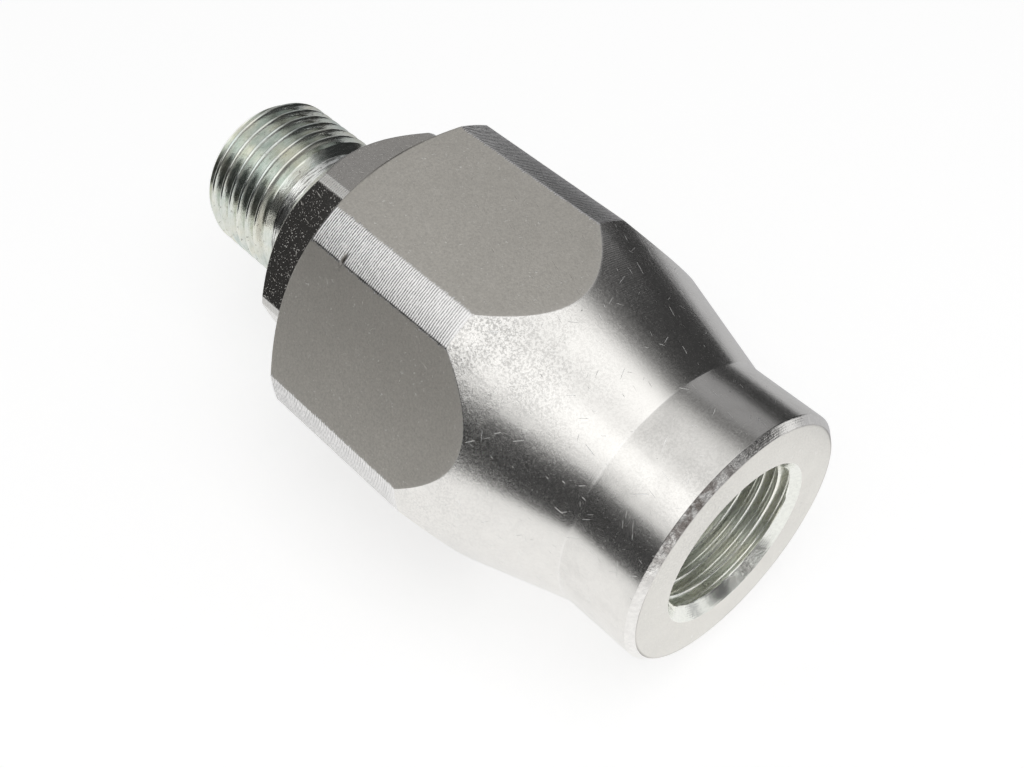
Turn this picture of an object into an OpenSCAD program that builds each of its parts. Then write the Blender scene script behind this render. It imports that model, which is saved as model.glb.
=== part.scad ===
// In-line hydraulic swivel joint with a male stem and a female body.
// The stem turns in the body on two rows of balls behind an O-ring seal.
// It lies on one flat of the body's hexagon, with the female port towards +X and +Z up.

/* [Body] */
// Distance across the flats of the body's hexagon
body_flats = 41; // [39:0.5:44]
// Diameter to which the corners of the body's hexagon are turned
body_corner_d = 45; // [44.6:0.1:46]
// Length of the hexagonal stretch, with its end chamfer
body_hex_len = 25; // [24:0.5:40]
// Length of the end chamfer on the hexagon
body_chamfer_len = 2.4; // [1:0.1:4]
// Radial drop of the end chamfer on the hexagon
body_chamfer_drop = 2.9; // [1:0.1:4]
// Length of the turned taper
taper_len = 19.5; // [18:0.1:30]
// Diameter of the cylindrical female end
end_d = 32.6; // [31:0.1:36]
// Length of the cylindrical female end
end_len = 10.4; // [8.4:0.1:20]
// Size of the bevel round the rim of the female end
rim_bevel = 0.8; // [0.3:0.1:1.5]

/* [Female port] */
// Core diameter of the female pipe thread
port_core_d = 18.631; // [16:0.001:20]
// Depth of the threaded hole
port_depth = 15.5; // [12:0.5:17]
// Diameter of the countersink at the mouth
port_sink_d = 21.2; // [20.5:0.1:23]
// Diameter of the passage behind the threaded hole
passage_d = 13; // [10:0.5:14]
// Angle between the axis and the cone that the drill leaves
drill_angle = 59; // [45:1:75]

/* [Stem] */
// Outside diameter of the male pipe thread
thread_d = 20.955; // [20:0.001:22]
// Length of the male thread
thread_len = 13.2; // [10:0.1:20]
// Length of the chamfer at the thread's end
thread_chamfer_len = 1.4; // [0.8:0.1:2]
// Radial drop of the chamfer at the thread's end
thread_chamfer_drop = 1; // [0.5:0.1:1.1]
// Diameter of the relief between thread and hexagon
relief_d = 18.4; // [17.5:0.1:19.5]
// Length of the relief between thread and hexagon
relief_len = 5.8; // [4:0.1:10]
// Length of the ramp from the relief up to the thread
runout_len = 1.2; // [0.5:0.1:2]
// Radius of the fillet where the relief meets the hexagon
root_fillet = 1.2; // [0.4:0.1:2]
// Distance across the flats of the stem's hexagon
stem_flats = 30; // [28:0.5:33]
// Diameter to which the corners of the stem's hexagon are turned
stem_corner_d = 34; // [33.5:0.1:34.5]
// Length of the stem's hexagon
stem_hex_len = 8.6; // [7:0.1:14]
// Length of the chamfer on the thread's side of the stem's hexagon
stem_chamfer_len = 3; // [1:0.1:4]
// Radial drop of the chamfer on the thread's side of the stem's hexagon
stem_chamfer_drop = 3; // [1:0.1:4]
// Turn of the stem's hexagon against the body's flats
stem_turn = 47; // [0:1:59]
// Diameter of the oil passage through the stem
oil_bore_d = 12; // [8:0.5:13]
// Mouth diameter of the sealing cone at the male end
cone_mouth_d = 16; // [14:0.5:17]
// Angle between the axis and the sealing cone
cone_angle = 30; // [20:1:45]

/* [Swivel bearing] */
// Diameter of the stem's shank inside the body
shank_d = 24; // [23:0.1:25]
// Radial running clearance between shank and body
run_gap = 0.08; // [0.06:0.01:0.1]
// Axial gap between the stem's hexagon and the body
face_gap = 1; // [0.3:0.1:2]
// Diameter of a bearing ball
ball_d = 5; // [4:0.5:5.5]
// Clearance between a ball and the walls of its race
ball_gap = 0.08; // [0.06:0.01:0.1]
// Smallest free space between two balls of a row
ball_spacing = 0.15; // [0.1:0.01:0.5]
// Wall left between the guide ring's groove and the front race
front_wall = 2.4; // [2:0.1:4]
// Wall left between the two races
middle_wall = 2.9; // [2:0.1:4]
// Wall left between the rear race and the seal's groove
rear_wall = 2.1; // [2:0.1:4]

/* [Loading ports] */
// Diameter of the screw that closes a ball-loading port
plug_d = 6; // [5.8:0.1:6.5]
// Radial clearance between a port and its screw
plug_gap = 0.05; // [0.02:0.01:0.08]
// Depth of the screw below the flat of the hexagon
plug_sink = 0.4; // [0.2:0.1:1]
// Distance across the flats of the screw's socket
socket_flats = 3; // [2:0.5:3.5]
// Depth of the screw's socket as a share of the screw's length
socket_share = 0.4; // [0.3:0.05:0.6]
// Flat of the body's hexagon that carries the ports, counted from the resting flat
port_flat = 1; // [0:1:5]

/* [Seals] */
// Land between the body's mouth and the wiper's groove
mouth_land = 1; // [0.6:0.1:2]
// Width of the wiper's groove
wiper_w = 3; // [2.5:0.1:4]
// Radial height of the wiper's groove
wiper_h = 2.9; // [2:0.1:3.5]
// Thickness of the wiper's lip
wiper_lip = 0.8; // [0.5:0.1:1.2]
// Land between the wiper's groove and the guide ring's groove
guide_land = 1.5; // [1:0.1:3]
// Width of the guide ring's groove
guide_w = 4; // [3:0.1:6]
// Radial height of the guide ring's groove
guide_h = 2; // [1.5:0.1:2.5]
// Width of the slit in the guide ring
guide_slit = 0.8; // [0.4:0.1:1.5]
// Radial depth of the O-ring's groove in the stem
seal_h = 2.2; // [1.8:0.1:2.6]
// Space for the O-ring along the axis
o_ring_w = 3; // [2.6:0.1:4]
// Thickness of a backup ring
backup_w = 1.3; // [1:0.1:2]
// Clearance of the seals in their grooves
seal_gap = 0.05; // [0.03:0.01:0.08]
// Length of the nose past the seal's groove
nose_len = 2.2; // [1.5:0.1:4]
// Size of the lead-in chamfer on the nose
nose_chamfer = 0.8; // [0.3:0.1:1.2]
// Free space between the nose and the body's shoulder
nose_gap = 1; // [0.4:0.1:2]
// Size of the small chamfers at the bores' mouths
edge_break = 0.5; // [0.2:0.1:0.8]

/* [Hidden] */
$fn = 96;
overcut = 1;
hex_side_angle = 60;
fillet_steps = 6;

// Stations along the axis, from the male end to the female end
z_relief = thread_len;
z_stem_hex = z_relief + relief_len;
z_shank = z_stem_hex + stem_hex_len;
z_body = z_shank + face_gap;
z_wiper = z_body + mouth_land;
z_guide = z_wiper + wiper_w + guide_land;
race_r = ball_d / 2 + ball_gap;
z_front_race = z_guide + guide_w + front_wall + race_r;
z_rear_race = z_front_race + middle_wall + 2 * race_r;
z_seal = z_rear_race + race_r + rear_wall;
seal_w = o_ring_w + 2 * backup_w + 4 * seal_gap;
z_nose = z_seal + seal_w + nose_len;
z_shoulder = z_nose + nose_gap;
z_taper = z_body + body_hex_len;
z_end = z_taper + taper_len;
total_len = z_end + end_len;

shank_r = shank_d / 2;
bore_r = shank_r + run_gap;
pitch_r = (shank_r + bore_r) / 2;
balls_per_row = floor(180 / asin((ball_d + ball_spacing) / (2 * pitch_r)));
seal_floor_r = shank_r - seal_h;
port_core_r = port_core_d / 2;
sink_drop = (port_sink_d - port_core_d) / 2;
drill_len = (port_core_d - passage_d) / 2 / tan(drill_angle);
cone_len = (cone_mouth_d - oil_bore_d) / 2 / tan(cone_angle);
port_angle = port_flat * hex_side_angle;
port_r = plug_d / 2;
plug_inner_r = bore_r + race_r + ball_gap;
plug_len = body_flats / 2 - plug_sink - plug_inner_r;
socket_depth = plug_len * socket_share;

FRONT_BALLS = [for (i = [1 : balls_per_row]) str("front_ball_", i)];
REAR_BALLS = [for (i = [1 : balls_per_row]) str("rear_ball_", i)];

// Lays the axis level, with one flat of the body's hexagon on the ground
module laid_down() {
    translate([-total_len / 2, 0, body_flats / 2]) rotate([0, 90, 0]) children();
}

// Stem pieces also carry the stem's turn about the axis
module on_stem() {
    laid_down() rotate([0, 0, stem_turn]) children();
}

module hex_prism(flats, z0, z1) {
    translate([0, 0, z0])
        rotate([0, 0, hex_side_angle / 2])
            cylinder(h = z1 - z0, d = flats / cos(hex_side_angle / 2), $fn = 6);
}

// Ring with a rectangular section, used for grooves and plain rings
module square_ring(inner_r, outer_r, z0, z1) {
    rotate_extrude()
        translate([inner_r, z0])
            square([outer_r - inner_r, z1 - z0]);
}

module race(z) {
    translate([0, 0, z])
        rotate_extrude()
            translate([pitch_r, 0])
                circle(r = race_r, $fn = 48);
}

// Turned outline of the body before its flats are milled
module body_outline() {
    corner_r = body_corner_d / 2;
    end_r = end_d / 2;
    rotate_extrude()
        polygon([
            [0, z_body],
            [corner_r - body_chamfer_drop, z_body],
            [corner_r, z_body + body_chamfer_len],
            [corner_r, z_taper],
            [end_r, z_end],
            [end_r, total_len - rim_bevel],
            [end_r - rim_bevel, total_len],
            [0, total_len]
        ]);
}

// Everything that is bored out of the body, from its mouth to the female port
module body_bore() {
    z_core_end = total_len - port_depth;
    rotate_extrude()
        polygon([
            [0, z_body - overcut],
            [bore_r + edge_break + overcut, z_body - overcut],
            [bore_r, z_body + edge_break],
            [bore_r, z_shoulder],
            [passage_d / 2, z_shoulder],
            [passage_d / 2, z_core_end - drill_len],
            [port_core_r, z_core_end],
            [port_core_r, total_len - sink_drop],
            [port_core_r + sink_drop + overcut, total_len + overcut],
            [0, total_len + overcut]
        ]);
}

// Radial hole through which one race is filled with balls
module loading_port(z) {
    rotate([0, 0, port_angle])
        translate([pitch_r, 0, z])
            rotate([0, 90, 0])
                cylinder(h = body_flats / 2 - pitch_r + overcut, r = port_r);
}

module body() {
    color([0.66, 0.65, 0.63])
        laid_down()
            difference() {
                intersection() {
                    body_outline();
                    hex_prism(body_flats, z_body - overcut, total_len + overcut);
                }
                body_bore();
                square_ring(bore_r - overcut, bore_r + wiper_h, z_wiper, z_wiper + wiper_w);
                square_ring(bore_r - overcut, bore_r + guide_h, z_guide, z_guide + guide_w);
                race(z_front_race);
                race(z_rear_race);
                loading_port(z_front_race);
                loading_port(z_rear_race);
            }
}

// Turned outline of the stem: thread, relief, shank and nose
module stem_outline() {
    thread_r = thread_d / 2;
    relief_r = relief_d / 2;
    rotate_extrude()
        polygon(concat(
            [
                [0, 0],
                [thread_r - thread_chamfer_drop, 0],
                [thread_r, thread_chamfer_len],
                [thread_r, z_relief - runout_len],
                [relief_r, z_relief]
            ],
            [for (i = [0 : fillet_steps])
                let (angle = 90 * i / fillet_steps)
                    [relief_r + root_fillet * (1 - cos(angle)),
                     z_stem_hex - root_fillet * (1 - sin(angle))]],
            [
                [relief_r + root_fillet, z_stem_hex + stem_hex_len / 2],
                [shank_r, z_stem_hex + stem_hex_len / 2],
                [shank_r, z_nose - nose_chamfer],
                [shank_r - nose_chamfer, z_nose],
                [0, z_nose]
            ]));
}

// The stem's hexagon with its turned corners and its chamfer
module stem_hexagon() {
    corner_r = stem_corner_d / 2;
    intersection() {
        rotate_extrude()
            polygon([
                [0, z_stem_hex],
                [corner_r - stem_chamfer_drop, z_stem_hex],
                [corner_r, z_stem_hex + stem_chamfer_len],
                [corner_r, z_shank - edge_break],
                [corner_r - edge_break, z_shank],
                [0, z_shank]
            ]);
        hex_prism(stem_flats, z_stem_hex - overcut, z_shank + overcut);
    }
}

// Oil passage with the sealing cone at the male end
module oil_bore() {
    bore = oil_bore_d / 2;
    mouth = cone_mouth_d / 2;
    rotate_extrude()
        polygon([
            [0, -overcut],
            [mouth + overcut * tan(cone_angle), -overcut],
            [bore, cone_len],
            [bore, z_nose - edge_break],
            [bore + edge_break + overcut, z_nose + overcut],
            [0, z_nose + overcut]
        ]);
}

module stem() {
    color([0.72, 0.71, 0.66])
        on_stem()
            difference() {
                union() {
                    stem_outline();
                    stem_hexagon();
                }
                oil_bore();
                race(z_front_race);
                race(z_rear_race);
                square_ring(seal_floor_r, shank_r + overcut, z_seal, z_seal + seal_w);
            }
}

// Dust wiper in the body's mouth, with a lip that leans outwards
module wiper_seal() {
    inner_r = shank_r + seal_gap;
    outer_r = bore_r + wiper_h - seal_gap;
    z0 = z_wiper + seal_gap;
    z1 = z_wiper + wiper_w - seal_gap;
    heel_r = inner_r + wiper_lip;
    color([0.08, 0.08, 0.09])
        laid_down()
            rotate_extrude()
                polygon([
                    [inner_r, z0],
                    [inner_r + wiper_lip / 2, z0],
                    [heel_r + wiper_lip / 2, z0 + wiper_w / 3],
                    [outer_r - wiper_lip, z0 + wiper_w / 3],
                    [outer_r - wiper_lip / 2, z0],
                    [outer_r, z0],
                    [outer_r, z1],
                    [heel_r, z1]
                ]);
}

// Split guide ring that centres the shank
module guide_ring() {
    inner_r = shank_r + seal_gap;
    outer_r = bore_r + guide_h - seal_gap;
    color([0.85, 0.82, 0.74])
        laid_down()
            difference() {
                square_ring(inner_r, outer_r, z_guide + seal_gap, z_guide + guide_w - seal_gap);
                translate([0, -outer_r, z_guide + guide_w / 2])
                    rotate([0, hex_side_angle / 2, 0])
                        cube([guide_slit, 2 * (outer_r - inner_r) + overcut, 4 * guide_w], center = true);
            }
}

// O-ring between its two backup rings, pressed to an oval section by the bore
module o_ring() {
    inner_r = seal_floor_r + seal_gap;
    outer_r = bore_r - seal_gap;
    height = outer_r - inner_r;
    flat_w = o_ring_w - height;
    z_middle = z_seal + seal_w / 2;
    color([0.06, 0.06, 0.06])
        on_stem()
            rotate_extrude()
                translate([inner_r + height / 2, z_middle]) {
                    square([height, flat_w], center = true);
                    translate([0, flat_w / 2]) circle(d = height, $fn = 48);
                    translate([0, -flat_w / 2]) circle(d = height, $fn = 48);
                }
}

module backup_ring(z0) {
    color([0.9, 0.89, 0.85])
        on_stem()
            square_ring(seal_floor_r + seal_gap, bore_r - seal_gap, z0, z0 + backup_w);
}

// Headless screw that closes one loading port
module loading_plug(z) {
    r = port_r - plug_gap;
    color([0.3, 0.29, 0.28])
        laid_down()
            rotate([0, 0, port_angle])
                translate([plug_inner_r, 0, z])
                    rotate([0, 90, 0])
                        difference() {
                            union() {
                                cylinder(h = plug_len - edge_break, r = r);
                                translate([0, 0, plug_len - edge_break])
                                    cylinder(h = edge_break, r1 = r, r2 = r - edge_break);
                            }
                            hex_prism(socket_flats, plug_len - socket_depth, plug_len + overcut);
                        }
}

module bearing_ball(z, index) {
    color([0.8, 0.81, 0.83])
        laid_down()
            rotate([0, 0, index * 360 / balls_per_row])
                translate([pitch_r, 0, z])
                    sphere(d = ball_d, $fn = 48);
}

body();
stem();
wiper_seal();
guide_ring();
o_ring();
backup_ring(z_seal + seal_gap);  // front_backup_ring
backup_ring(z_seal + seal_w - seal_gap - backup_w);  // rear_backup_ring
loading_plug(z_front_race);  // front_loading_plug
loading_plug(z_rear_race);  // rear_loading_plug
for (i = [1 : balls_per_row])
    bearing_ball(z_front_race, i);
for (i = [1 : balls_per_row])
    bearing_ball(z_rear_race, i);
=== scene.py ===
import math

import bmesh
import bpy
import numpy as np
from mathutils import Euler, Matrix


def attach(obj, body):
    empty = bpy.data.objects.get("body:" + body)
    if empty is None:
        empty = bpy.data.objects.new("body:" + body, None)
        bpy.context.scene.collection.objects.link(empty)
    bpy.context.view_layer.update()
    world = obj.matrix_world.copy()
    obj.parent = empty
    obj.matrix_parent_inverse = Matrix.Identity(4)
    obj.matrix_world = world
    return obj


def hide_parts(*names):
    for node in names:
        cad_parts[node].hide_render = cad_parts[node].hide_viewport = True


# In-line hydraulic swivel joint: zinc-plated steel body and stem, with their real threads,
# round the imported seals, balls and screws.
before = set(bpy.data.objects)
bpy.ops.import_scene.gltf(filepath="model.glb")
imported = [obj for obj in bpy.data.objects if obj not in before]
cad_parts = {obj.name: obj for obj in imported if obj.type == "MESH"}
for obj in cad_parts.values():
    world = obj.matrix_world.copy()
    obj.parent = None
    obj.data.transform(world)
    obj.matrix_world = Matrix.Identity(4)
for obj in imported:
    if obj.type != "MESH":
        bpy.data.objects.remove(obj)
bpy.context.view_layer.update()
scene = bpy.context.scene

# Sizes in millimetres, as in the part's source. Stations run from the male end.
MM = 0.001
TOTAL = 83.5
AXIS_HEIGHT = 20.5
BODY_FLATS, BODY_CORNER_R = 41.0, 22.5
Z_BODY, Z_TAPER, Z_END = 28.6, 53.6, 73.1
BODY_CHAMFER_LEN, BODY_CHAMFER_DROP = 2.4, 2.9
END_R, RIM = 16.3, 0.8
CORE_R, SINK_R, PORT_DEPTH = 9.3155, 10.6, 15.5
PASSAGE_R, DRILL_LEN = 6.5, 1.692
THREAD_R, PITCH, THREAD_LEN = 10.4775, 1.814, 13.2
THREAD_CHAMFER_LEN, THREAD_CHAMFER_DROP = 1.4, 1.0
RELIEF_R, RUNOUT, ROOT_FILLET = 9.2, 1.2, 1.2
Z_STEM_HEX, STEM_HEX_LEN, Z_SHANK = 19.0, 8.6, 27.6
STEM_FLATS, STEM_CORNER_R, STEM_CHAMFER = 30.0, 17.0, 3.0
STEM_TURN = math.radians(47)
OIL_R, CONE_MOUTH_R, CONE_LEN = 6.0, 8.0, 3.4641
SHANK_R, BORE_R, PITCH_R, RACE_R = 12.0, 12.08, 12.04, 2.58
Z_FRONT_RACE, Z_REAR_RACE = 43.08, 51.14
Z_WIPER, WIPER_W, WIPER_H = 29.6, 3.0, 2.9
Z_GUIDE, GUIDE_W, GUIDE_H = 34.1, 4.0, 2.0
Z_SEAL, SEAL_W, SEAL_H = 55.82, 5.8, 2.2
Z_NOSE, NOSE_CHAMFER, Z_SHOULDER = 63.82, 0.8, 64.82
EDGE_BREAK = 0.5
PORT_R, PORT_ANGLE = 3.0, math.radians(60)
SHARP = 0.018
MALE_CREST, FEMALE_CREST = 0.74, 0.80
FLOOR_WHITE, FLOOR_GLOW = 0.6, 0.62
Z_NICK, NICK_ANGLE = 36.2, math.radians(214.9)


# Mesh helpers: every turned piece is a closed run of rows round the axis

def soft_min(*values):
    """Smallest value, with the corner between two of them rounded."""
    v = np.stack(np.broadcast_arrays(*values))
    low = v.min(0)
    return low - SHARP * np.log(np.exp(-(v - low) / SHARP).sum(0))


def soft_max(*values):
    return -soft_min(*[-np.asarray(v, float) for v in values])


def columns(flats, corner_r, flat_cells, strip_cells):
    """Angles round the axis, close together at the edges of the flats, and the hexagon's radius there."""
    half = flats / 2
    edge = math.acos(half / corner_r)
    near = np.array([0.0012, 0.003, 0.0058, 0.0105, 0.018])
    side = np.concatenate([
        np.linspace(0, edge - near[-1], flat_cells // 2 + 1),
        edge - near[-2::-1],
        [edge],
        edge + near,
        np.linspace(edge + near[-1], math.pi / 6, strip_cells // 2 + 1)[1:],
    ])
    sector = np.concatenate([-side[:0:-1], side])
    turns = [sector[:-1] + k * math.pi / 3 for k in range(6)]
    phi = np.append(np.concatenate(turns), sector[0] + 2 * math.pi)
    off = (phi + math.pi / 6) % (math.pi / 3) - math.pi / 6
    return phi, half / np.cos(off)


def rounded(points, radius=0.12, steps=3):
    """The (z, r) points of a profile with its inner corners rounded."""
    p = [np.array(q, float) for q in points]
    out = [p[0]]
    for a, b, c in zip(p, p[1:], p[2:]):
        u, v = a - b, c - b
        lu, lv = np.linalg.norm(u), np.linalg.norm(v)
        u, v = u / lu, v / lv
        half = math.acos(max(-1.0, min(1.0, float(u @ v)))) / 2
        t = min(radius / max(math.tan(half), 1e-3), 0.4 * lu, 0.4 * lv)
        for i in range(steps + 1):
            s = i / steps
            out.append((b + u * t) * (1 - s) ** 2 + 2 * b * s * (1 - s) + (b + v * t) * s ** 2)
    out.append(p[-1])
    return np.array(out)


def arc(z, centre_r, radius, start, stop, steps=14):
    """Points of a race's arc, by angle from the axis's direction."""
    a = np.linspace(start, stop, steps + 1)
    return [(z + radius * math.cos(t), centre_r + radius * math.sin(t)) for t in a]


def thread_drop(x):
    """How far a 55-degree rounded thread lies below its crest, at axial distance x from it."""
    root_r = 0.137329 * PITCH
    x = np.abs((x / PITCH + 0.5) % 1 - 0.5) * PITCH
    flank = math.radians(27.5)
    xt = root_r * math.cos(flank)
    top = root_r * (1 - math.sin(flank))
    depth = 2 * top + (PITCH / 2 - 2 * xt) / math.tan(flank)
    crest = root_r - np.sqrt(np.maximum(root_r ** 2 - x ** 2, 0))
    valley = depth - (root_r - np.sqrt(np.maximum(root_r ** 2 - (PITCH / 2 - x) ** 2, 0)))
    return np.where(x < xt, crest, np.where(x < PITCH / 2 - xt, top + (x - xt) / math.tan(flank), valley))


def helix_rows(z0, z1, angle, crest, steps):
    """Rows that follow the thread, held between two rings, and each point's distance from a crest."""
    quarter = np.array([0, 0.09, 0.165, 0.2209, 0.33, 0.4535, 0.577, 0.6861, 0.742, 0.817]) if steps == 20 \
        else np.array([0, 0.11, 0.2209, 0.37, 0.537, 0.6861, 0.797])
    one = np.concatenate([quarter, PITCH - np.append(quarter[1:], PITCH / 2)[::-1]])
    first = math.floor((z0 - crest) / PITCH) - 2
    last = math.ceil((z1 - crest) / PITCH) + 2
    base = np.concatenate([one + k * PITCH for k in range(first, last)])
    z = crest + base[:, None] + PITCH * angle[None, :] / (2 * math.pi)
    return np.clip(z, z0, z1), np.broadcast_to(base[:, None], z.shape)


class Surface:
    def __init__(self, phi, turn):
        self.phi, self.turn = phi, turn
        self.points, self.faces, self.mats, self.wear, self.painted_shade_and_grime = [], [], [], [], []
        self.count = 0

    def grid(self, z, r, mat, wear=0.0, painted_shade_and_grime=0.0):
        z, r = np.broadcast_arrays(np.asarray(z, float), np.asarray(r, float))
        if z.ndim == 1:
            z, r = np.repeat(z[:, None], len(self.phi), 1), np.repeat(r[:, None], len(self.phi), 1)
        a = self.phi + self.turn
        self.points.append(np.stack([z - TOTAL / 2, r * np.sin(a), AXIS_HEIGHT - r * np.cos(a)], -1).reshape(-1, 3))
        rows, cols = z.shape
        i, j = np.meshgrid(np.arange(rows - 1), np.arange(cols - 1), indexing="ij")
        k = self.count + i * cols + j
        self.faces.append(np.stack([k, k + 1, k + cols + 1, k + cols], -1).reshape(-1, 4))
        self.mats.append(np.broadcast_to(mat, (rows - 1, cols - 1)).reshape(-1))
        self.wear.append(np.broadcast_to(wear, z.shape).reshape(-1))
        self.painted_shade_and_grime.append(np.broadcast_to(painted_shade_and_grime, z.shape).reshape(-1))
        self.count += rows * cols

    def build(self, name, body, materials):
        mesh = bpy.data.meshes.new(name)
        mesh.from_pydata((np.concatenate(self.points)).tolist(), [], np.concatenate(self.faces).tolist())
        mesh.polygons.foreach_set("material_index", np.concatenate(self.mats).astype(np.int32))
        # The second layer holds painted shade with some grime: dark marks beside the gap to the stem, in the nick,
        # along edges and in the rim's crease.
        for layer, values in (("edge_wear", self.wear), ("painted_shade_and_grime", self.painted_shade_and_grime)):
            data = mesh.attributes.new(layer, "FLOAT", "POINT").data
            data.foreach_set("value", np.concatenate(values).astype(np.float32))
        bm = bmesh.new()
        bm.from_mesh(mesh)
        bmesh.ops.remove_doubles(bm, verts=bm.verts, dist=0.0015)
        bmesh.ops.dissolve_degenerate(bm, edges=bm.edges, dist=0.0004)
        bmesh.ops.recalc_face_normals(bm, faces=bm.faces)
        bmesh.ops.scale(bm, verts=bm.verts, vec=(MM, MM, MM))
        bm.to_mesh(mesh)
        bm.free()
        for m in materials:
            mesh.materials.append(m)
        piece = bpy.data.objects.new(name, mesh)
        scene.collection.objects.link(piece)
        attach(piece, body)
        return piece


def smooth(piece, degrees=32):
    """Smooth shading that keeps the large faces flat and the sharp edges sharp."""
    mesh = piece.data
    bm = bmesh.new()
    bm.from_mesh(mesh)
    for f in bm.faces:
        f.smooth = True
    for e in bm.edges:
        e.smooth = len(e.link_faces) != 2 or e.calc_face_angle(0) < math.radians(degrees)
    bm.to_mesh(mesh)
    bm.free()
    weighted = piece.modifiers.new("even_normals", "WEIGHTED_NORMAL")
    weighted.mode = "FACE_AREA"
    weighted.weight = 60
    weighted.keep_sharp = True


# Material helpers

class Nodes:
    def __init__(self, name):
        self.material = bpy.data.materials.new(name)
        self.material.use_nodes = True
        self.tree = self.material.node_tree
        self.shader = self.tree.nodes["Principled BSDF"]
        coords = self.add("ShaderNodeTexCoord")
        scaled = self.add("ShaderNodeVectorMath", operation="SCALE")
        scaled.inputs["Scale"].default_value = 1 / MM
        self.link(coords.outputs["Object"], scaled.inputs[0])
        self.mm = scaled.outputs["Vector"]

    def add(self, kind, **settings):
        node = self.tree.nodes.new(kind)
        for key, value in settings.items():
            setattr(node, key, value)
        return node

    def link(self, a, b):
        self.tree.links.new(a, b)

    def put(self, value, socket):
        if isinstance(value, bpy.types.NodeSocket):
            self.link(value, socket)
        else:
            socket.default_value = value

    def math(self, operation, a, b=0.0):
        node = self.add("ShaderNodeMath", operation=operation)
        self.put(a, node.inputs[0])
        self.put(b, node.inputs[1])
        return node.outputs[0]

    def times(self, a, b):
        return self.math("MULTIPLY", a, b)

    def stretch(self, vector, scale, rotation=(0, 0, 0)):
        node = self.add("ShaderNodeMapping")
        self.link(vector, node.inputs["Vector"])
        node.inputs["Scale"].default_value = scale
        node.inputs["Rotation"].default_value = rotation
        return node.outputs["Vector"]

    def noise(self, scale, detail=3.0, rough=0.55, vector=None):
        node = self.add("ShaderNodeTexNoise")
        self.link(self.mm if vector is None else vector, node.inputs["Vector"])
        node.inputs["Scale"].default_value = scale
        node.inputs["Detail"].default_value = detail
        node.inputs["Roughness"].default_value = rough
        return node.outputs["Fac"]

    def span(self, value, a, b, lo, hi):
        node = self.add("ShaderNodeMapRange", clamp=True)
        for v, socket in zip((value, a, b, lo, hi), node.inputs):
            self.put(v, socket)
        return node.outputs["Result"]

    def soft_span(self, value, a, b, lo, hi):
        node = self.add("ShaderNodeMapRange", interpolation_type="SMOOTHSTEP")
        for v, socket in zip((value, a, b, lo, hi), node.inputs):
            self.put(v, socket)
        return node.outputs["Result"]

    def blend(self, factor, a, b):
        node = self.add("ShaderNodeMix", data_type="RGBA")
        self.put(factor, node.inputs["Factor"])
        for v, socket in ((a, node.inputs[6]), (b, node.inputs[7])):
            self.put((*v, 1) if isinstance(v, tuple) else v, socket)
        return node.outputs[2]

    def mix(self, factor, a, b):
        node = self.add("ShaderNodeMix", data_type="FLOAT")
        for v, socket in zip((factor, a, b), (node.inputs["Factor"], node.inputs[2], node.inputs[3])):
            self.put(v, socket)
        return node.outputs[0]

    def cylinder(self):
        """Place along the axis, the angle round it as a length at 20 mm radius, and the distance from it."""
        split = self.add("ShaderNodeSeparateXYZ")
        self.link(self.mm, split.inputs[0])
        up = self.math("SUBTRACT", split.outputs["Z"], AXIS_HEIGHT)
        y = split.outputs["Y"]
        turn = self.times(self.math("ARCTAN2", y, up), 20.0)
        radius = self.math("SQRT", self.math("ADD", self.times(y, y), self.times(up, up)))
        unrolled = self.add("ShaderNodeCombineXYZ")
        self.link(split.outputs["X"], unrolled.inputs[0])
        self.link(turn, unrolled.inputs[1])
        self.link(radius, unrolled.inputs[2])
        return split.outputs["X"], radius, unrolled.outputs[0]

    def attribute(self, name):
        return self.add("ShaderNodeAttribute", attribute_name=name).outputs["Fac"]

    def bump(self, height, distance):
        """Height runs from 0 to about 1, and distance is what 1 stands for in millimetres."""
        node = self.add("ShaderNodeBump")
        node.inputs["Distance"].default_value = distance * MM
        self.put(height, node.inputs["Height"])
        return node.outputs["Normal"]

    def scratches(self, limit, unrolled, scale=(0.3, 5.0, 1.0)):
        """Short thin marks in three directions along the surface."""
        found = None
        for k, turn in enumerate((0.3, 1.2, 2.4)):
            shifted = self.add("ShaderNodeVectorMath", operation="ADD")
            self.link(self.stretch(unrolled, (1, 1, 1), (0, 0, turn)), shifted.inputs[0])
            shifted.inputs[1].default_value = (0, 0, 7.3 * k)
            line = self.noise(1.0, 1.0, 0.4, self.stretch(shifted.outputs["Vector"], scale))
            line = self.span(line, limit, limit + 0.03, 0.0, 1.0)
            found = line if found is None else self.math("MAXIMUM", found, line)
        return found

    def metal(self, color, roughness, normal):
        s = self.shader.inputs
        s["Metallic"].default_value = 1.0
        self.put(color, s["Base Color"])
        self.put(roughness, s["Roughness"])
        self.link(normal, s["Normal"])
        return self.material


def dim(tone, share):
    return tuple(share * c for c in tone)


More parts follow.
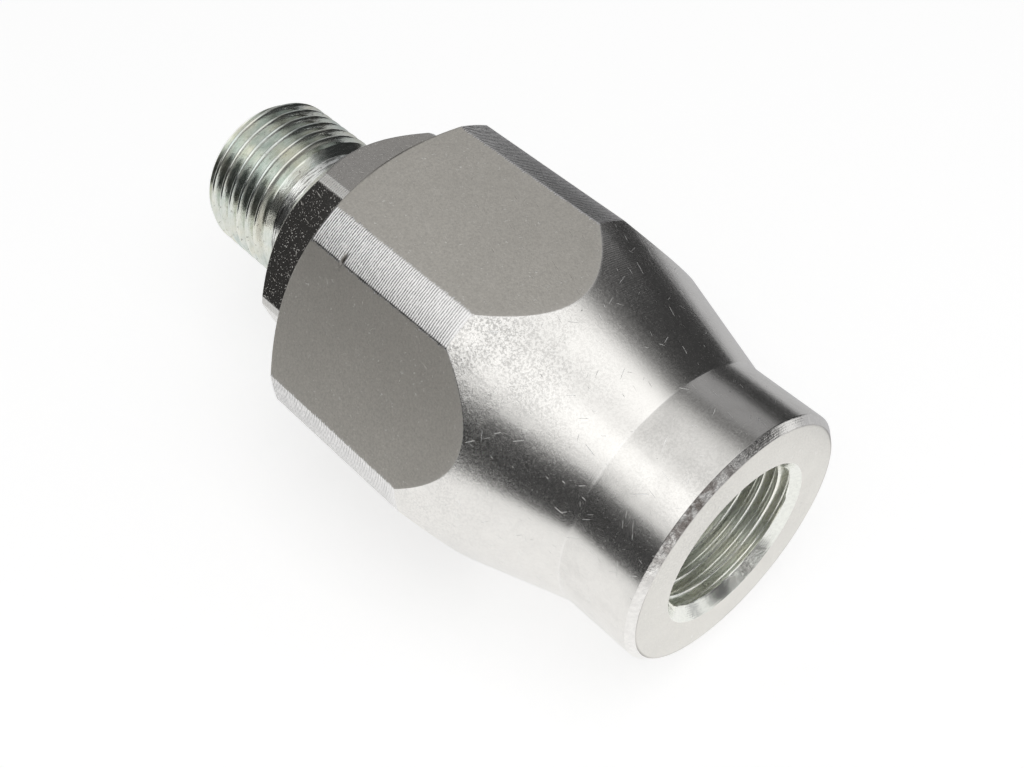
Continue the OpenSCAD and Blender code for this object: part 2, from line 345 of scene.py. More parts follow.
def hexagon(name, corner_r, flat, flat_rough, grain, grain_size, speck, strip, strip_rough, groove_shade_strength):
    """Matt drawn flats between turned corners: grain and pale specks on the flats, tool lines on the corners with
    painted shade in their grooves.
    """
    n = Nodes(name)
    along, radius, unrolled = n.cylinder()
    wear = n.attribute("edge_wear")

    # Tool lines, broken up, with painted shade in their grooves, darkest at the front
    wobble = n.noise(0.9, 3.0)
    line = n.math("SINE", n.times(n.math("ADD", along, n.times(wobble, 0.14)), 2 * math.pi / 0.32))
    broken = n.span(n.noise(1.0, 3.0, 0.7, n.stretch(unrolled, (3.0, 1.9, 1.0))), 0.34, 0.54, 0.3, 1.0)
    fade = n.span(along, -13.0, 11.0, groove_shade_strength, 0.5 * groove_shade_strength)
    fade = n.times(fade, n.span(along, 10.4, 12.0, 1.0, 0.15))
    painted_groove_shade = n.times(n.times(n.span(line, -0.7, 0.2, 1.0, 0.0), broken), fade)
    frost = n.noise(4.0, 4.0, 0.7)
    strip_color = n.blend(n.span(frost, 0.35, 0.7, 0.0, 1.0), dim(strip, 0.82), strip)
    strip_color = n.blend(painted_groove_shade, strip_color, dim(strip, 0.1))
    strip_height = n.math("ADD", n.times(line, 0.45), n.times(frost, 0.8))

    # Flats
    cloud = n.noise(0.11, 3.0)
    fine = n.noise(grain_size, 4.0, 0.72)
    spot = n.span(n.noise(speck[0], 2.0, 0.5), speck[1], speck[1] + 0.04, 0.0, 1.0)
    flat_color = n.blend(n.span(cloud, 0.35, 0.65, 0.0, 1.0), dim(flat, 0.94), flat)
    flat_color = n.blend(n.span(fine, 0.35, 0.68, 0.0, 0.8), flat_color, dim(flat, 0.72))
    flat_color = n.blend(n.times(spot, 0.4), flat_color, (0.93, 0.93, 0.91))
    marks = n.scratches(0.765, unrolled, (0.5, 5.0, 1.0))
    flat_height = n.math("SUBTRACT", fine, n.times(marks, 0.7))
    flat_height = n.math("ADD", flat_height, n.times(spot, 0.6))

    # The tool lines run out raggedly over the edges of the flats
    ragged = n.noise(1.0, 3.0, 0.7, n.stretch(unrolled, (3.1, 0.9, 1.0)))
    limit = n.math("SUBTRACT", corner_r - 0.02, n.span(ragged, 0.42, 0.68, 0.0, 0.13))
    turned = n.span(n.math("SUBTRACT", radius, limit), -0.015, 0.015, 0.0, 1.0)
    color = n.blend(turned, flat_color, strip_color)
    color = n.blend(n.times(wear, 0.35), color, (0.86, 0.85, 0.83))
    # Painted shade with some grime, from the mesh layer, darkens the colour towards near black.
    color = n.blend(n.attribute("painted_shade_and_grime"), color, (0.06, 0.055, 0.05))
    flat_r = n.mix(spot, n.span(fine, 0.3, 0.7, flat_rough - 0.05, flat_rough + 0.07), 0.5)
    strip_r = n.span(frost, 0.3, 0.7, strip_rough - 0.08, strip_rough + 0.08)
    height = n.mix(turned, n.times(flat_height, grain), n.times(strip_height, 0.022))
    return n.metal(color, n.mix(turned, flat_r, strip_r), n.bump(height, 1.0))


def turned_zinc(name, tone, rough, depth, frosted=(0.5, 0.5), mottle=0.1):
    """Turned surface under zinc: crystal frost, faint tool lines, small marks and scratches."""
    n = Nodes(name)
    along, radius, unrolled = n.cylinder()
    around = n.add("ShaderNodeSeparateXYZ")
    n.link(unrolled, around.inputs[0])
    side = around.outputs["Y"]
    near = n.times(n.span(side, -26.0, -19.0, 0.25, 1.0), n.span(side, -7.0, -1.0, 1.0, 0.4))
    share = n.times(n.span(along, 13.0, 30.0, frosted[0], frosted[1]), n.span(along, -6.0, 6.0, 0.25, 1.0))
    share = n.times(share, near)
    patch = n.times(n.span(n.noise(0.22, 3.0), 0.34, 0.56, 0.25, 1.0), share)
    frost = n.noise(3.4, 5.0, 0.75)
    crystal = n.noise(6.5, 2.0, 0.5)
    cloud = n.noise(0.35, 4.0, 0.6)
    line = n.math("SINE", n.times(along, 2 * math.pi / 0.24))
    marks = n.scratches(0.765, unrolled)
    pits = n.span(n.noise(1.9, 2.0, 0.5), 0.76, 0.79, 0.0, 1.0)
    grainy = n.times(n.span(frost, 0.46, 0.53, 1.0, 0.0), n.math("ADD", n.times(patch, 0.9), 0.06))
    color = n.blend(grainy, tone, dim(tone, 0.52))
    color = n.blend(n.span(cloud, 0.4, 0.66, 0.0, mottle), color, dim(tone, 0.3))
    color = n.blend(n.times(n.span(crystal, 0.55, 0.7, 0.0, 0.7), patch), color, (0.97, 0.97, 0.96))
    color = n.blend(n.times(marks, 0.7), color, (0.98, 0.98, 0.97))
    color = n.blend(n.times(pits, 0.7), color, dim(tone, 0.25))
    color = n.blend(n.times(n.attribute("edge_wear"), 0.4), color, (0.95, 0.94, 0.92))
    # Painted shade with some grime, from the mesh layer, darkens the colour towards near black.
    color = n.blend(n.attribute("painted_shade_and_grime"), color, (0.07, 0.06, 0.055))
    r = n.span(frost, 0.3, 0.75, rough - 0.05, rough + 0.07)
    r = n.mix(n.times(marks, 0.5), n.math("ADD", r, n.times(patch, 0.06)), 0.6)
    height = n.times(n.math("ADD", frost, n.times(crystal, 0.5)), patch)
    height = n.math("ADD", height, n.times(line, 0.03))
    height = n.math("SUBTRACT", height, n.times(n.math("ADD", marks, n.times(pits, 0.3)), 0.4))
    return n.metal(color, r, n.bump(height, depth))


def chatter(name, tone, rough, size, depth, dirt):
    """Edge or cone cut with a chattering tool: glints between dark, brownish patches."""
    n = Nodes(name)
    along, radius, unrolled = n.cylinder()
    where = n.attribute("edge_wear")
    tear = n.noise(size, 4.0, 0.7)
    stain = n.times(n.span(n.noise(0.7, 3.0, 0.6), 0.43, 0.56, 0.0, dirt), where)
    torn = n.times(n.span(tear, 0.62, 0.4, 0.0, 1.0), n.math("ADD", n.times(where, 0.75), 0.15))
    color = n.blend(torn, tone, dim(tone, 0.42))
    color = n.blend(stain, color, (0.17, 0.14, 0.125))
    # Painted shade with some grime, from the mesh layer, darkens the colour towards near black.
    color = n.blend(n.attribute("painted_shade_and_grime"), color, (0.07, 0.06, 0.055))
    r = n.span(tear, 0.35, 0.65, rough - 0.05, rough + 0.08)
    line = n.math("SINE", n.times(radius, 2 * math.pi / 0.17))
    height = n.math("ADD", n.times(tear, n.math("ADD", where, 0.06)), n.times(line, 0.006))
    return n.metal(color, r, n.bump(height, depth))


def cut_thread(name, rough, pale, low, high, depth=0.016, scored=0.0, dirty=0.7):
    """Cut thread or groove with a thin passivation tint that drifts from grey-green to beige."""
    n = Nodes(name)
    along, radius, unrolled = n.cylinder()
    streak = n.noise(1.0, 4.0, 0.65, n.stretch(unrolled, (6.0, 0.35, 1.0)))
    score = n.noise(1.0, 3.0, 0.6, n.stretch(unrolled, (4.2, 0.16, 1.0)))
    score = n.span(score, 0.5, 0.58, 0.0, scored)
    drift = n.noise(0.22, 2.0)
    color = n.blend(n.span(drift, 0.38, 0.62, 0.0, 1.0), low, high)
    color = n.blend(n.span(streak, 0.35, 0.75, 0.0, 0.7), color, pale)
    color = n.blend(score, color, (0.12, 0.12, 0.115))
    dirt = n.span(n.noise(2.2, 4.0, 0.7), 0.6, 0.7, 0.0, dirty)
    color = n.blend(dirt, color, (0.24, 0.23, 0.21))
    r = n.span(streak, 0.3, 0.75, rough - 0.04, rough + 0.1)
    height = n.math("ADD", streak, n.times(n.noise(6.0, 3.0, 0.7), 0.4))
    height = n.math("SUBTRACT", height, n.times(score, 1.5))
    return n.metal(color, r, n.bump(height, depth))


def plain_metal(name, tone, rough, depth=0.006):
    n = Nodes(name)
    along, radius, unrolled = n.cylinder()
    fine = n.noise(4.0, 4.0, 0.65)
    color = n.blend(n.span(fine, 0.35, 0.7, 0.0, 1.0), dim(tone, 0.85), tone)
    r = n.span(n.noise(1.2, 3.0), 0.3, 0.7, rough - 0.04, rough + 0.06)
    height = n.math("SUBTRACT", fine, n.times(n.scratches(0.75, unrolled), 0.5))
    return n.metal(color, r, n.bump(height, depth))


def soft_part(name, tone, rough, depth=0.01):
    """Rubber or plastic of the inner seals."""
    n = Nodes(name)
    fine = n.noise(5.0, 4.0, 0.65)
    s = n.shader.inputs
    n.link(n.blend(n.span(n.noise(0.4, 3.0), 0.35, 0.65, 0.0, 1.0), dim(tone, 0.82), tone), s["Base Color"])
    n.link(n.span(fine, 0.3, 0.7, rough - 0.06, rough + 0.06), s["Roughness"])
    n.link(n.bump(fine, depth), s["Normal"])
    return n.material


HEX, TAPER, BARREL, RIM_CUT, FACE, SINK, PORT, INSIDE = range(8)
# In each hexagon the last argument sets how dark the painted shade in the tool lines' grooves is.
body_materials = [
    hexagon("body_flats_and_corners", BODY_CORNER_R, (0.64, 0.615, 0.565), 0.5, 0.024, 3.6, (2.4, 0.685),
            (0.97, 0.96, 0.95), 0.32, 1.0),
    turned_zinc("body_taper", (0.83, 0.815, 0.785), 0.22, 0.04, (1.0, 0.1), 0.05),
    turned_zinc("body_barrel", (0.81, 0.795, 0.765), 0.22, 0.014, (0.4, 0.2), 0.12),
    chatter("body_rim", (0.88, 0.865, 0.84), 0.17, 1.7, 0.3, 0.85),
    turned_zinc("body_end_face", (0.75, 0.733, 0.69), 0.30, 0.008, (0.4, 0.4), 0.05),
    chatter("body_port_cone", (0.86, 0.87, 0.82), 0.1, 2.5, 0.26, 0.3),
    # Painted light: the port's thread gets a near-white colour, far paler than the stem's thread of the same zinc, for
    # the light inside the port.
    cut_thread("body_port_thread_painted_light", 0.25, (0.99, 0.99, 0.95), (0.93, 0.96, 0.90), (0.97, 0.97, 0.88), 0.003, 0.0, 0.15),
    plain_metal("body_bore", (0.62, 0.61, 0.59), 0.3),
]
STEM_HEX, STEM_CUT, STEM_THREAD, STEM_RELIEF, SHANK = range(5)
stem_materials = [
    hexagon("stem_flats_and_corners", STEM_CORNER_R, (0.70, 0.675, 0.63), 0.13, 0.03, 2.6, (5.0, 0.655),
            (0.66, 0.65, 0.625), 0.3, 0.2),
    turned_zinc("stem_chamfer", (0.76, 0.74, 0.70), 0.24, 0.02, (0.6, 0.6), 0.1),
    cut_thread("stem_thread", 0.13, (0.88, 0.89, 0.86), (0.56, 0.62, 0.58), (0.72, 0.72, 0.62)),
    cut_thread("stem_relief", 0.14, (0.95, 0.95, 0.93), (0.84, 0.85, 0.83), (0.88, 0.88, 0.84), 0.018, 0.75),
    plain_metal("stem_shank", (0.7, 0.7, 0.7), 0.22),
]


def swivel_body():
    phi, flat_r = columns(BODY_FLATS, BODY_CORNER_R, 22, 14)
    s = Surface(phi, 0.0)
    turned = BODY_CORNER_R
    slope = (BODY_CORNER_R - END_R) / (Z_END - Z_TAPER)
    over = np.clip(turned - flat_r, 0, None)
    z_chamfer = Z_BODY + BODY_CHAMFER_LEN * (1 - over / BODY_CHAMFER_DROP)
    z_taper = Z_TAPER + over / slope

    torn = np.exp(-(((np.degrees(phi) - 208) / 26) ** 2))

    # Outside, from the chamfer to the rim
    near = np.array([-0.3, -0.17, -0.09, -0.03, 0.03, 0.09, 0.17, 0.3])
    z0 = Z_BODY + 0.35
    zone = [np.full(len(phi), z0)]
    zone += [z_chamfer + d for d in near]
    nick = (Z_NICK - Z_BODY - BODY_CHAMFER_LEN - 0.3) / (Z_TAPER - Z_BODY - BODY_CHAMFER_LEN - 0.6)
    hex_rows = np.sort(np.append(np.linspace(0, 1, 24)[1:-1], nick + np.linspace(-0.02, 0.02, 7)))
    zone += [z_chamfer + 0.3 + (z_taper - z_chamfer - 0.6) * t for t in hex_rows]
    zone += [z_taper + d for d in near]
    zone += [z_taper + 0.3 + (Z_END - z_taper - 0.6) * t for t in np.linspace(0, 1, 14)[1:-1]]
    zone += [np.full(len(phi), Z_END + d) for d in near]
    z_rim = TOTAL - RIM
    zone += [np.full(len(phi), Z_END + 0.3 + (z_rim - Z_END - 0.5) * t) for t in np.linspace(0, 1, 9)[1:-1]]
    zone += [np.full(len(phi), z_rim + d) for d in (-0.2, -0.1, -0.05, -0.02, 0.02, 0.05, 0.1, 0.2, 0.4)]
    z = np.stack(zone)
    chamfer = BODY_CORNER_R - BODY_CHAMFER_DROP + (z - Z_BODY) * BODY_CHAMFER_DROP / BODY_CHAMFER_LEN
    taper = soft_max(BODY_CORNER_R - (z - Z_TAPER) * slope, END_R)
    rim = END_R - RIM + (TOTAL - z)
    profile = soft_min(chamfer, turned, taper, rim)
    r = soft_min(profile, flat_r[None, :])
    dent = np.exp(-((z - Z_NICK) / 0.18) ** 2 - (((phi - NICK_ANGLE) * BODY_CORNER_R) / 0.5)[None, :] ** 2)
    r = r - 0.4 * dent
    wear = np.exp(-np.abs(profile - flat_r[None, :]) / 0.05) * (z > z_chamfer + 0.5)
    wear = np.maximum(wear, np.exp(-np.abs(z - Z_END) / 0.08))
    wear = np.where(z > z_rim, torn[None, :], wear)
    # Painted shade, partly grime: the front chamfer darkens beside the gap to the stem, the nick darkens inside, and
    # dark lines run along one flat's edge and along the chamfer's arc.
    painted_shade_and_grime = np.exp(-np.clip(z_chamfer - z, 0, None) / 0.25) * (z < z_chamfer + 0.02)
    painted_shade_and_grime = np.maximum(painted_shade_and_grime, np.minimum(1.3 * dent, 0.95))
    edge = math.radians(240) - math.acos(BODY_FLATS / 2 / BODY_CORNER_R)
    line = np.exp(-(((phi - edge) * BODY_CORNER_R / 0.10) ** 2))[None, :] * (0.55 + 0.3 * np.sin(1.7 * z) * np.sin(0.9 * z))
    painted_shade_and_grime = np.maximum(painted_shade_and_grime, line * (z > z_chamfer + 0.5) * (z < z_taper))
    arc_line = np.exp(-((z - z_chamfer - 0.06) / 0.13) ** 2) * np.exp(-(((np.degrees(phi) - 178) / 15) ** 2))[None, :]
    painted_shade_and_grime = np.maximum(painted_shade_and_grime, 0.9 * arc_line)
    zm = (z[:-1, :-1] + z[1:, 1:]) / 2
    front = zm < ((z_chamfer[:-1] + z_chamfer[1:]) / 2)
    hexed = zm < ((z_taper[:-1] + z_taper[1:]) / 2)
    mat = np.where(front, TAPER, np.where(hexed, HEX, np.where(zm < Z_END, TAPER, np.where(zm < z_rim, BARREL, RIM_CUT))))
    s.grid(z, r, mat, wear, painted_shade_and_grime)

    # Rim, face and the first part of the countersink
    z_sink = TOTAL - 0.35
    edge = rounded([(TOTAL - RIM / 2, END_R - RIM / 2), (TOTAL, END_R - RIM), (TOTAL, END_R - 2.2)], 0.06)
    edge = np.insert(edge, 5, (TOTAL, END_R - RIM - 0.25), 0)
    s.grid(*edge[:3].T, RIM_CUT, torn[None, :])
    # Painted shade: an uneven dark line on the end face where the rim's chamfer meets it.
    rim_crease_shade = np.exp(-np.abs(edge[2:, 1] - (END_R - RIM)) / 0.05)[:, None]
    uneven = 0.5 + 0.5 * np.sin(3 * phi + 1.9) * np.sin(7 * phi + 0.6)
    s.grid(*edge[2:].T, FACE, 0.0, rim_crease_shade * uneven[None, :])
    face = rounded([(TOTAL, END_R - 2.2), (TOTAL, SINK_R), (z_sink, SINK_R - 0.35)], 0.08)
    s.grid(*face[:3].T, FACE)
    glints = np.exp(-(((np.degrees(phi) - 18) / 12) ** 2))
    s.grid(*face[2:].T, SINK, glints[None, :])

    # Female thread, cut back by the countersink and fading out at its far end
    z_last = TOTAL - 14.2
    z, place = helix_rows(z_last, z_sink, phi, FEMALE_CREST, 14)
    ripple = np.sin(31 * phi[None, :] + 5 * z) * np.sin(17 * phi[None, :] - 9 * z) + np.sin(47 * phi[None, :] + 11 * z)
    cone = SINK_R - (TOTAL - z) + 0.022 * ripple * glints[None, :] * np.clip((z_sink - z) / 0.2, 0, 1)
    fade = CORE_R + np.clip((z - z_last) / 1.6, 0, 1) * np.clip((TOTAL - 0.85 - z) / 0.6, 0, 1) * (THREAD_R - CORE_R)
    drop = thread_drop(place + PITCH / 2)
    r = soft_max(cone, np.minimum(THREAD_R - drop, fade), CORE_R)
    r = np.where(z <= z_last, CORE_R, np.where(z >= z_sink, SINK_R - 0.35, r))
    in_cone = ((cone + 0.01 > r)[:-1, :-1] & (cone + 0.01 > r)[1:, 1:])
    s.grid(z, r, np.where(in_cone, SINK, PORT), glints[None, :])

    # Core hole, passage, bore with its grooves and races, and the mouth
    z_core = TOTAL - PORT_DEPTH
    s.grid(*rounded([(z_last, CORE_R), (z_core, CORE_R), (z_core - DRILL_LEN, PASSAGE_R), (z_core - DRILL_LEN - 0.3, PASSAGE_R)]).T, PORT)
    lip = math.asin((BORE_R - PITCH_R) / RACE_R)
    inside = [(z_core - DRILL_LEN - 0.3, PASSAGE_R), (Z_SHOULDER, PASSAGE_R), (Z_SHOULDER, BORE_R)]
    inside += arc(Z_REAR_RACE, PITCH_R, RACE_R, lip, math.pi - lip)
    inside += arc(Z_FRONT_RACE, PITCH_R, RACE_R, lip, math.pi - lip)
    inside += [(Z_GUIDE + GUIDE_W, BORE_R), (Z_GUIDE + GUIDE_W, BORE_R + GUIDE_H), (Z_GUIDE, BORE_R + GUIDE_H), (Z_GUIDE, BORE_R)]
    inside += [(Z_WIPER + WIPER_W, BORE_R), (Z_WIPER + WIPER_W, BORE_R + WIPER_H), (Z_WIPER, BORE_R + WIPER_H), (Z_WIPER, BORE_R)]
    inside += [(Z_BODY + EDGE_BREAK, BORE_R), (Z_BODY, BORE_R + EDGE_BREAK)]
    s.grid(*np.array(inside).T, INSIDE)
    r0 = BODY_CORNER_R - BODY_CHAMFER_DROP
    lead = 0.35 * BODY_CHAMFER_DROP / BODY_CHAMFER_LEN
    s.grid(*rounded([(Z_BODY, BORE_R + EDGE_BREAK), (Z_BODY, r0), (z0, r0 + lead)], 0.1).T, TAPER)
    return s.build("swivel_body", "housing", body_materials)


def swivel_stem():
    phi, flat_r = columns(STEM_FLATS, STEM_CORNER_R, 18, 8)
    s = Surface(phi, STEM_TURN)

    # Sealing cone and end face
    z_start = 0.15
    r_start = THREAD_R - THREAD_CHAMFER_DROP
    lead = z_start * THREAD_CHAMFER_DROP / THREAD_CHAMFER_LEN
    s.grid(*rounded([(CONE_LEN, OIL_R), (0, CONE_MOUTH_R), (0, r_start), (z_start, r_start + lead)], 0.05).T, STEM_THREAD)

    # Male thread with its chamfer and its runout
    z_relief = THREAD_LEN
    z, place = helix_rows(z_start, z_relief, phi + STEM_TURN, MALE_CREST, 20)
    chamfer = r_start + z * THREAD_CHAMFER_DROP / THREAD_CHAMFER_LEN
    ramp = RELIEF_R + (z_relief - z) * (THREAD_R - RELIEF_R) / RUNOUT
    r = soft_min(THREAD_R - thread_drop(place), chamfer, ramp)
    r = np.where(z <= z_start, r_start + lead, np.where(z >= z_relief, RELIEF_R, r))
    s.grid(z, r, STEM_THREAD)

    # Relief, fillet and the hexagon's front face
    bend = [(Z_STEM_HEX - ROOT_FILLET * (1 - math.sin(a)), RELIEF_R + ROOT_FILLET * (1 - math.cos(a)))
            for a in np.linspace(0, math.pi / 2, 8)]
    z_hex = Z_STEM_HEX + 0.3
    r_hex = STEM_CORNER_R - STEM_CHAMFER
    s.grid(*np.array([(z_relief, RELIEF_R)] + bend).T, STEM_RELIEF, 0.6)
    s.grid(*rounded([bend[-1], (Z_STEM_HEX, r_hex), (z_hex, r_hex + 0.3)], 0.1).T, STEM_CUT)

    # Hexagon
    over = np.clip(STEM_CORNER_R - flat_r, 0, None)
    z_chamfer = Z_STEM_HEX + STEM_CHAMFER - over
    near = np.array([-0.3, -0.17, -0.09, -0.03, 0.03, 0.09, 0.17, 0.3])
    zone = [np.full(len(phi), z_hex)]
    zone += [z_hex + (z_chamfer - 0.3 - z_hex) * t for t in (0.35, 0.7)]
    zone += [z_chamfer + d for d in near]
    z_back = Z_SHANK - EDGE_BREAK
    zone += [z_chamfer + 0.3 + (z_back - 0.2 - z_chamfer - 0.3) * t for t in np.linspace(0, 1, 7)[1:]]
    zone += [np.full(len(phi), z_back + d) for d in (-0.1, -0.03, 0.03, 0.1, 0.3)]
    z = np.stack(zone)
    profile = soft_min(r_hex + (z - Z_STEM_HEX), STEM_CORNER_R, STEM_CORNER_R - EDGE_BREAK + (Z_SHANK - z))
    r = soft_min(profile, flat_r[None, :])
    wear = np.exp(-np.abs(profile - flat_r[None, :]) / 0.05) * (z > z_hex + 0.1)
    # Painted shade: a dark line along the hexagon's chamfer edge across the flats.
    painted_shade_and_grime = 0.7 * np.exp(-((z - z_chamfer) / 0.09) ** 2) * (flat_r < STEM_CORNER_R)[None, :]
    zm = (z[:-1, :-1] + z[1:, 1:]) / 2
    cut = zm < ((z_chamfer[:-1] + z_chamfer[1:]) / 2)
    s.grid(z, r, np.where(cut, STEM_CUT, STEM_HEX), wear, painted_shade_and_grime)

    # Back face of the hexagon, shank with races and seal groove, nose and oil bore
    share = np.array([0, 0.02, 0.06, 1.0])[:, None]
    z_last, r_last = z[-1], r[-1]
    r_face = np.minimum(flat_r, STEM_CORNER_R - EDGE_BREAK)
    rows_z = np.stack([z_last, np.full(len(phi), Z_SHANK - 0.06), np.full(len(phi), Z_SHANK), np.full(len(phi), Z_SHANK)])
    rows_r = np.stack([r_last, np.minimum(r_last, r_face + 0.06), r_face - 0.04, np.full(len(phi), SHANK_R)])
    s.grid(rows_z, rows_r, SHANK)
    dip = math.asin((PITCH_R - SHANK_R) / RACE_R)
    outer = [(Z_SHANK, SHANK_R)]
    outer += arc(Z_FRONT_RACE, PITCH_R, RACE_R, math.pi + dip, 2 * math.pi - dip)
    outer += arc(Z_REAR_RACE, PITCH_R, RACE_R, math.pi + dip, 2 * math.pi - dip)
    outer += [(Z_SEAL, SHANK_R), (Z_SEAL, SHANK_R - SEAL_H), (Z_SEAL + SEAL_W, SHANK_R - SEAL_H), (Z_SEAL + SEAL_W, SHANK_R)]
    outer += [(Z_NOSE - NOSE_CHAMFER, SHANK_R), (Z_NOSE, SHANK_R - NOSE_CHAMFER)]
    outer += [(Z_NOSE, OIL_R + EDGE_BREAK), (Z_NOSE - EDGE_BREAK, OIL_R), (CONE_LEN, OIL_R)]
    s.grid(*np.array(outer).T, SHANK)
    return s.build("swivel_stem", "stem", stem_materials)


def drill_ports(piece):
    """The two holes through which the balls go in, on a hidden flat."""
    cutters = []
    for k, z in enumerate((Z_FRONT_RACE, Z_REAR_RACE)):
        mesh = bpy.data.meshes.new("port_cutter_%d" % k)
        bm = bmesh.new()
        bmesh.ops.create_cone(bm, cap_ends=True, segments=64, radius1=PORT_R * MM, radius2=PORT_R * MM, depth=12 * MM)
        direction = (0.0, math.sin(PORT_ANGLE), -math.cos(PORT_ANGLE))
        reach = PITCH_R + 6
        bm.transform(Euler((PORT_ANGLE - math.pi, 0, 0)).to_matrix().to_4x4())
        bmesh.ops.translate(bm, verts=bm.verts, vec=((z - TOTAL / 2) * MM, direction[1] * reach * MM,
                                                    (AXIS_HEIGHT + direction[2] * reach) * MM))
        bm.to_mesh(mesh)
        bm.free()
        cutter = bpy.data.objects.new(mesh.name, mesh)
        scene.collection.objects.link(cutter)
        cutters.append(cutter)
        boolean = piece.modifiers.new("port_%d" % k, "BOOLEAN")
        boolean.operation = "DIFFERENCE"
        boolean.solver = "EXACT"
        boolean.object = cutter
    bpy.context.view_layer.update()
    done = bpy.data.meshes.new_from_object(piece.evaluated_get(bpy.context.evaluated_depsgraph_get()))
    piece.modifiers.clear()
    piece.data = done
    for cutter in cutters:
        bpy.data.objects.remove(cutter)


body = swivel_body()
drill_ports(body)
smooth(body)
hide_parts("body")
stem = swivel_stem()
smooth(stem)
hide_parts("stem")

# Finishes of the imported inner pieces
polished = plain_metal("ball_polished", (0.82, 0.83, 0.85), 0.1, 0.001)
oxide = plain_metal("screw_black_oxide", (0.10, 0.10, 0.10), 0.34, 0.006)
rubber = soft_part("seal_rubber", (0.028, 0.028, 0.03), 0.55)
guide = soft_part("guide_plastic", (0.62, 0.56, 0.42), 0.5)
waxy = soft_part("backup_plastic", (0.82, 0.81, 0.77), 0.4)
finishes = {
    "wiper_seal": rubber, "o_ring": rubber, "guide_ring": guide,
    "front_backup_ring": waxy, "rear_backup_ring": waxy,
    "front_loading_plug": oxide, "rear_loading_plug": oxide,
}
for name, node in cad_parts.items():
    if name not in ("body", "stem"):
        node.data.materials.clear()
        node.data.materials.append(finishes.get(name, polished))


# Stage: pale floor, white surroundings, one soft lamp, and grey cards that only reflections show, one of them a
# painted shadow on the floor behind the object

def seen_level(tree, unseen, seen):
    """Strength that is one thing for camera, glossy and transmission rays and another for the rest."""
    path = tree.nodes.new("ShaderNodeLightPath")
    first = tree.nodes.new("ShaderNodeMath")
    second = tree.nodes.new("ShaderNodeMath")
    level = tree.nodes.new("ShaderNodeMapRange")
    tree.links.new(path.outputs["Is Camera Ray"], first.inputs[0])
    tree.links.new(path.outputs["Is Glossy Ray"], first.inputs[1])
    tree.links.new(first.outputs[0], second.inputs[0])
    tree.links.new(path.outputs["Is Transmission Ray"], second.inputs[1])
    tree.links.new(second.outputs[0], level.inputs["Value"])
    level.inputs["To Min"].default_value = unseen
    level.inputs["To Max"].default_value = seen
    return level.outputs["Result"]


def staged(name, points, faces, material):
    mesh = bpy.data.meshes.new(name)
    mesh.from_pydata(points, [], faces)
    mesh.materials.append(material)
    piece = bpy.data.objects.new(name, mesh)
    scene.collection.objects.link(piece)
    return piece


def glow(name, grey):
    material = bpy.data.materials.new(name)
    material.use_nodes = True
    tree = material.node_tree
    tree.nodes.clear()
    out = tree.nodes.new("ShaderNodeOutputMaterial")
    light = tree.nodes.new("ShaderNodeEmission")
    light.inputs["Color"].default_value = (grey, grey, grey * 1.02, 1)
    tree.links.new(light.outputs[0], out.inputs["Surface"])
    return material


def unseen(piece):
    piece.visible_camera = False
    piece.visible_diffuse = False
    piece.visible_shadow = False


def card(name, start, stop, low, top, grey, radius):
    """Grey card that stands round the object between two heights, given as angles above the axis."""
    steps = 8
    angles = [math.radians(start + (stop - start) * i / steps) for i in range(steps + 1)]
    heights = [max(0.0, AXIS_HEIGHT * MM + radius * math.tan(math.radians(e))) for e in (low, top)]
    points = [(radius * math.cos(a), radius * math.sin(a), h) for h in heights for a in angles]
    faces = [(i, i + 1, steps + 2 + i, steps + 1 + i) for i in range(steps)]
    unseen(staged(name, points, faces, glow(name, grey)))


paper = bpy.data.materials.new("floor_paper")
paper.use_nodes = True
tree = paper.node_tree
tree.nodes.clear()
out = tree.nodes.new("ShaderNodeOutputMaterial")
both = tree.nodes.new("ShaderNodeAddShader")
white = tree.nodes.new("ShaderNodeBsdfDiffuse")
white.inputs["Color"].default_value = (FLOOR_WHITE, FLOOR_WHITE, FLOOR_WHITE, 1)
shine = tree.nodes.new("ShaderNodeEmission")
shine.inputs["Color"].default_value = (1, 1, 1, 1)
tree.links.new(seen_level(tree, 0.0, FLOOR_GLOW), shine.inputs["Strength"])
tree.links.new(white.outputs[0], both.inputs[0])
tree.links.new(shine.outputs[0], both.inputs[1])
tree.links.new(both.outputs[0], out.inputs["Surface"])
reach = 4.0
corners = [(-reach, -reach, -0.0002), (reach, -reach, -0.0002), (reach, reach, -0.0002), (-reach, reach, -0.0002)]
staged("floor", corners, [(0, 1, 2, 3)], paper)

world = bpy.data.worlds.new("white_room")
scene.world = world
world.use_nodes = True
sky = world.node_tree.nodes["Background"]
sky.inputs["Color"].default_value = (1, 1, 1, 1)
world.node_tree.links.new(seen_level(world.node_tree, 0.42, 1.0), sky.inputs["Strength"])

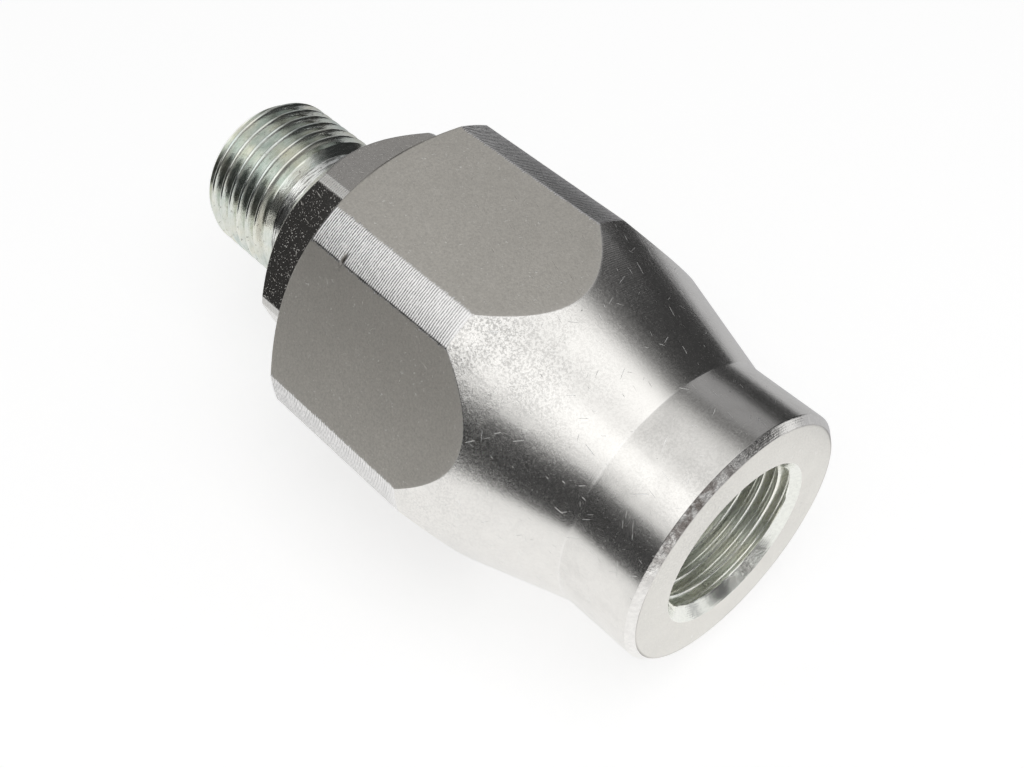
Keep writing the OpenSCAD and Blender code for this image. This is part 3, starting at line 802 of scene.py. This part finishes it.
def ceiling_glow():
    """Overhead sheet: one soft hot spot, a bright band towards the front, darker at the back right."""
    n = Nodes("card_ceiling")
    n.tree.nodes.remove(n.shader)
    light = n.add("ShaderNodeEmission")
    n.link(light.outputs[0], n.tree.nodes["Material Output"].inputs["Surface"])
    split = n.add("ShaderNodeSeparateXYZ")
    n.link(n.mm, split.inputs[0])
    x, y = split.outputs["X"], split.outputs["Y"]
    far = n.add("ShaderNodeVectorMath", operation="DISTANCE")
    n.link(n.mm, far.inputs[0])
    far.inputs[1].default_value = (120, 110, 0)
    spot = n.soft_span(far.outputs["Value"], 70, 300, 0.45, 0.0)
    front = n.times(n.soft_span(y, -60, -260, 0.0, 0.52), n.soft_span(y, -340, -560, 1.0, 0.25))
    shade = n.times(n.soft_span(y, 150, 420, 0.0, 0.85), n.soft_span(x, -430, -250, 0.0, 1.0))
    level = n.math("ADD", n.math("ADD", spot, front), 0.84)
    n.link(n.times(level, n.math("SUBTRACT", 1.0, shade)), light.inputs["Strength"])
    return n.material


card("card_back_low", 52, 128, -4, 22, 0.035, 0.14)
card("card_back_top", 52, 92, 22, 47, 0.04, 0.14)
card("card_back_left", 92, 158, -4, 43, 0.36, 0.3)
card("card_left", 158, 205, -4, 40, 0.3, 0.3)
card("card_front_left_low", 205, 304, -12, 25, 0.04, 0.175)
card("card_front_left_top", 205, 250, 25, 38, 0.08, 0.175)
card("card_front_top", 250, 304, 25, 34, 0.08, 0.175)
card("card_right", -58, 52, 5, 30, 0.07, 0.3)
# Painted shadow: a grey sheet on the floor behind the object, seen only in reflections, stands in for the object's
# shadow there.
patch = [(-0.12, 0.032, 0.0008), (0.12, 0.032, 0.0008), (0.12, 0.3, 0.0008), (-0.12, 0.3, 0.0008)]
unseen(staged("floor_shadow_card", patch, [(0, 1, 2, 3)], glow("floor_shadow_card", 0.55)))
side = 1.2
ceiling = staged("card_ceiling", [(-side, -side, 0), (side, -side, 0), (side, side, 0), (-side, side, 0)], [(0, 1, 2, 3)],
                 ceiling_glow())
ceiling.location.z = 0.55
unseen(ceiling)

lamp = bpy.data.lights.new("soft_lamp", "AREA")
lamp.shape = "RECTANGLE"
lamp.size, lamp.size_y = 0.42, 0.56
lamp.energy = 1.2 * math.pi * lamp.size * lamp.size_y
soft = bpy.data.objects.new("soft_lamp", lamp)
soft.location = (0.17, -0.12, 0.5)
soft.rotation_euler = Euler((math.radians(-12), math.radians(14), 0))
soft.visible_glossy = False
scene.collection.objects.link(soft)

# Camera at the photograph's place
camera = bpy.data.cameras.new("camera")
camera.lens = 49.7942
camera.sensor_width = 36
camera.clip_start = 0.005
eye = bpy.data.objects.new("camera", camera)
eye.location = (0.088583, -0.068651, 0.150210)
eye.rotation_euler = Euler([math.radians(a) for a in (38.6347, 2.4835, 47.0561)], "XYZ")
scene.collection.objects.link(eye)
scene.camera = eye
scene.view_settings.view_transform = "Standard"
